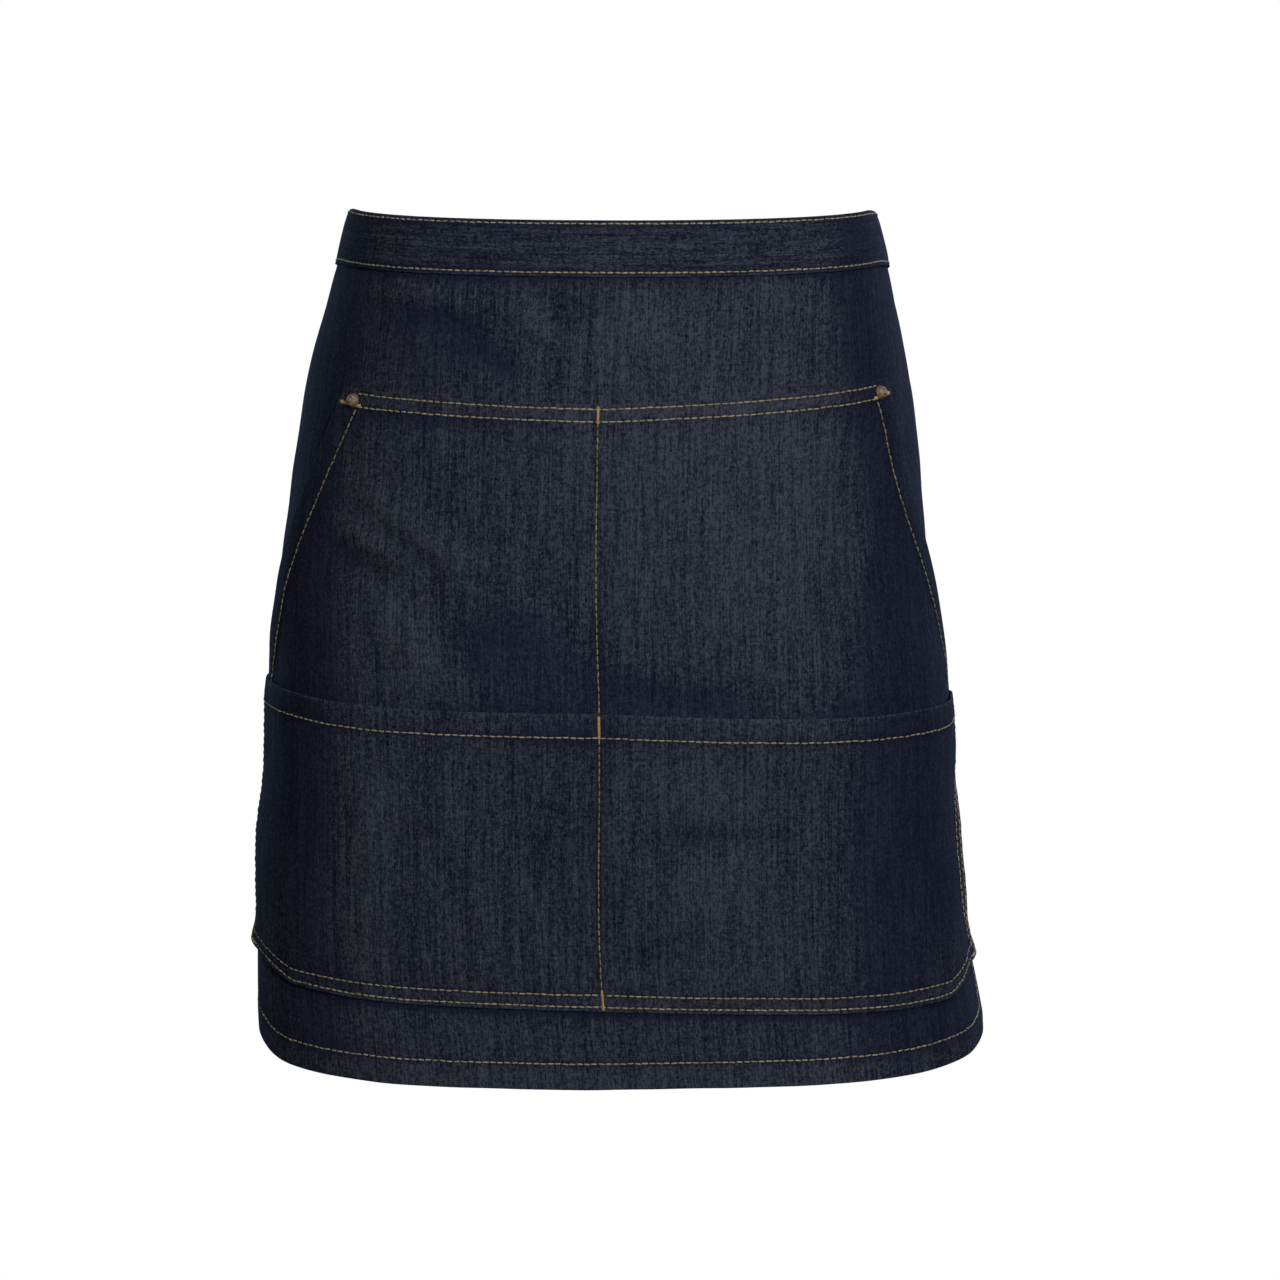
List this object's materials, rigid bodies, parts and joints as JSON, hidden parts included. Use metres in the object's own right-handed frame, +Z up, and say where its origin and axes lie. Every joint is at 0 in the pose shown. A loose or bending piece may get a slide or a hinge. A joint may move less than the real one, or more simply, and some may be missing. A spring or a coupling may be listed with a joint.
{
  "type": "denim waist apron",
  "caption": "Short denim waist apron, as worn: a skirt hung from a waistband, with a tall divided hand pocket, a wide low pocket over it, corner rivets and ties that close at the back.",
  "frame": {"origin": "middle of the waist, level with the waistband's top edge at the front, where the wearer's waist holds the apron", "axes": "+Z up, the front of the apron faces -Y, +X is on the right of someone who looks at the front"},
  "size_m": [0.4074, 0.3029, 0.4526],
  "materials": {
    "denim": "dark indigo twill denim with fine upright slubs and a dull, dry surface",
    "denim_band": "the same denim cut with its grain along the strip",
    "rivet": "aged brass with a copper cast and a worn, slightly hammered cap"
  },
  "bodies": {
    "root": {"skirt": "denim", "upper_pocket": "denim", "lower_pocket": "denim", "waistband": "denim_band", "tie_left": "denim_band", "tie_right": "denim_band", "tail_left": "denim_band", "tail_right": "denim_band", "tie_knot": "denim_band", "rivet_left": "rivet", "rivet_right": "rivet"}
  },
  "joints": []
}
